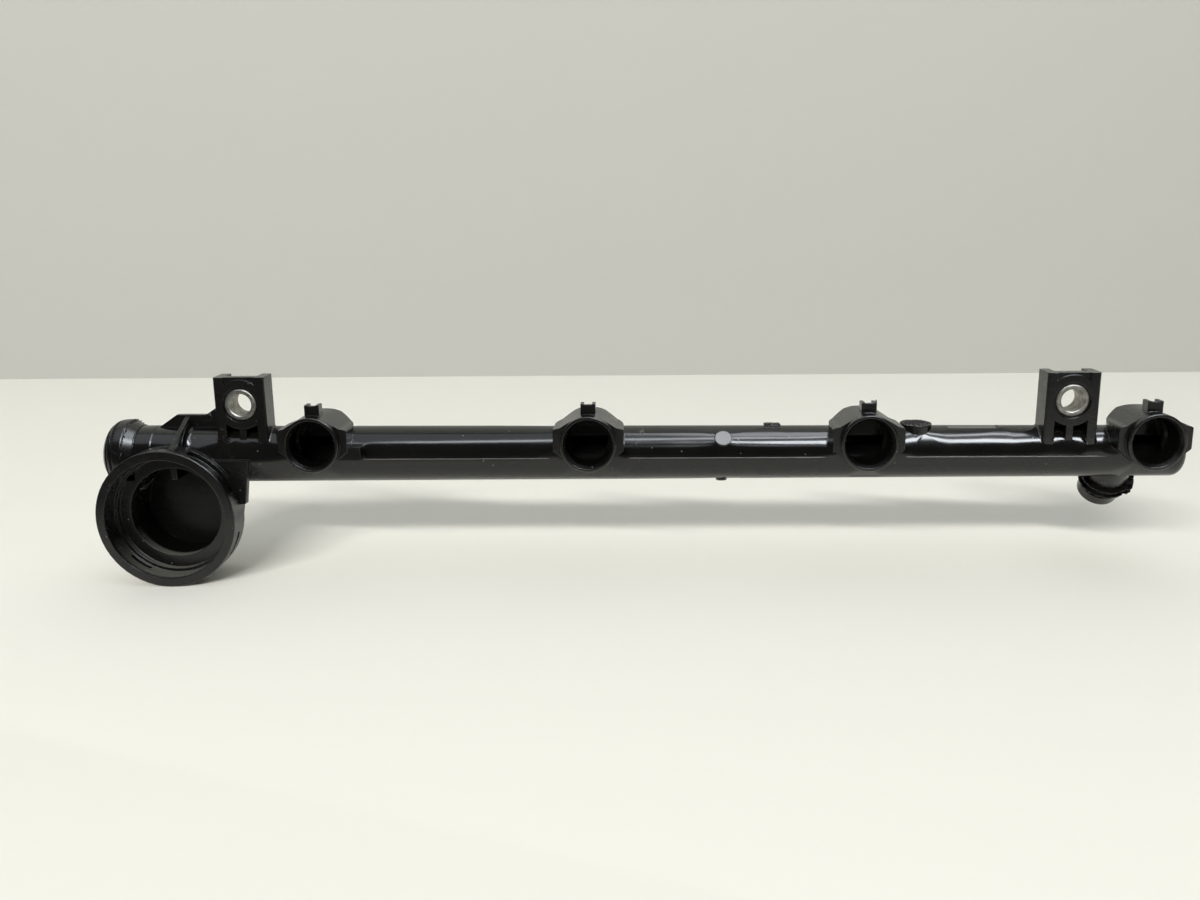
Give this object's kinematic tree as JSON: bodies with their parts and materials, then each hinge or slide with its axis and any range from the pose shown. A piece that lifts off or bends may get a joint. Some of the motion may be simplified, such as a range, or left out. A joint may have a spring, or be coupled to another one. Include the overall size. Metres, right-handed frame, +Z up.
{
  "type": "fuel rail",
  "caption": "Moulded plastic fuel rail for a four-cylinder engine, with injector ports, bolt brackets with steel bushes, a regulator cup and a welded inlet stub.",
  "frame": {"origin": "midway between the two bolts, on the seat face of their bushes", "axes": "+X along the rail from the cup to the closed end, -Y the way the ports open, +Z up from the ports to the brackets"},
  "size_m": [0.3499, 0.0379, 0.0664],
  "materials": {
    "black_plastic": "semi-gloss, glass-filled",
    "bush_steel": "turned, lightly stained"
  },
  "bodies": {
    "root": {"rail_body": "black_plastic", "end_cap": "black_plastic", "inlet_fitting": "black_plastic", "bolt_bush_left": "bush_steel", "bolt_bush_right": "bush_steel"}
  },
  "joints": []
}
